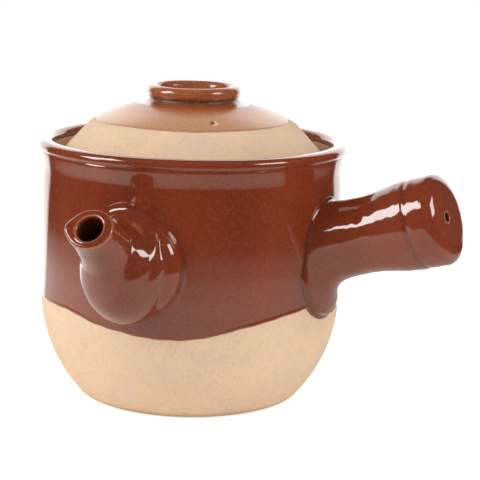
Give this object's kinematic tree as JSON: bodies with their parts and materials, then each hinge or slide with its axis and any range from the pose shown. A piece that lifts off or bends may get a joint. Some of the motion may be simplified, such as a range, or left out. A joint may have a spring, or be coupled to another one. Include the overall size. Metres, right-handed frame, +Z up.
{
  "type": "herbal medicine pot",
  "caption": "Stoneware pot for boiling herbal medicine, with a side spout, a hollow side handle and a loose domed lid with a ring knob.",
  "frame": {"origin": "centre of the flat base, on the surface that the pot stands on", "axes": "+Z up along the pot's axis, +X out along the handle as seen from above; the spout points 85 degrees round from the handle, towards -Y"},
  "size_m": [0.2584, 0.2284, 0.182],
  "materials": {
    "bare_clay": "matte, fine grained, unglazed",
    "brown_glaze": "glossy red-brown glaze",
    "liner_glaze": "glossy dark brown glaze",
    "lid_wash": "satin, thin light-brown wash",
    "amber_glaze": "glossy amber glaze"
  },
  "bodies": {
    "pot": {"pot_body": "bare_clay", "spout": "bare_clay", "handle": "bare_clay", "pot_glaze": "brown_glaze", "liner_glaze": "liner_glaze", "spout_glaze": "brown_glaze", "handle_glaze": "brown_glaze"},
    "lid": {"lid_dome": "bare_clay", "lid_knob": "bare_clay", "lid_wash": "lid_wash", "knob_glaze": "amber_glaze"}
  },
  "joints": [
    {"name": "lid_lift", "type": "slide", "parent": "pot", "child": "lid", "axis": [0, 0, 1], "range_m": [0, 0.08]}
  ]
}
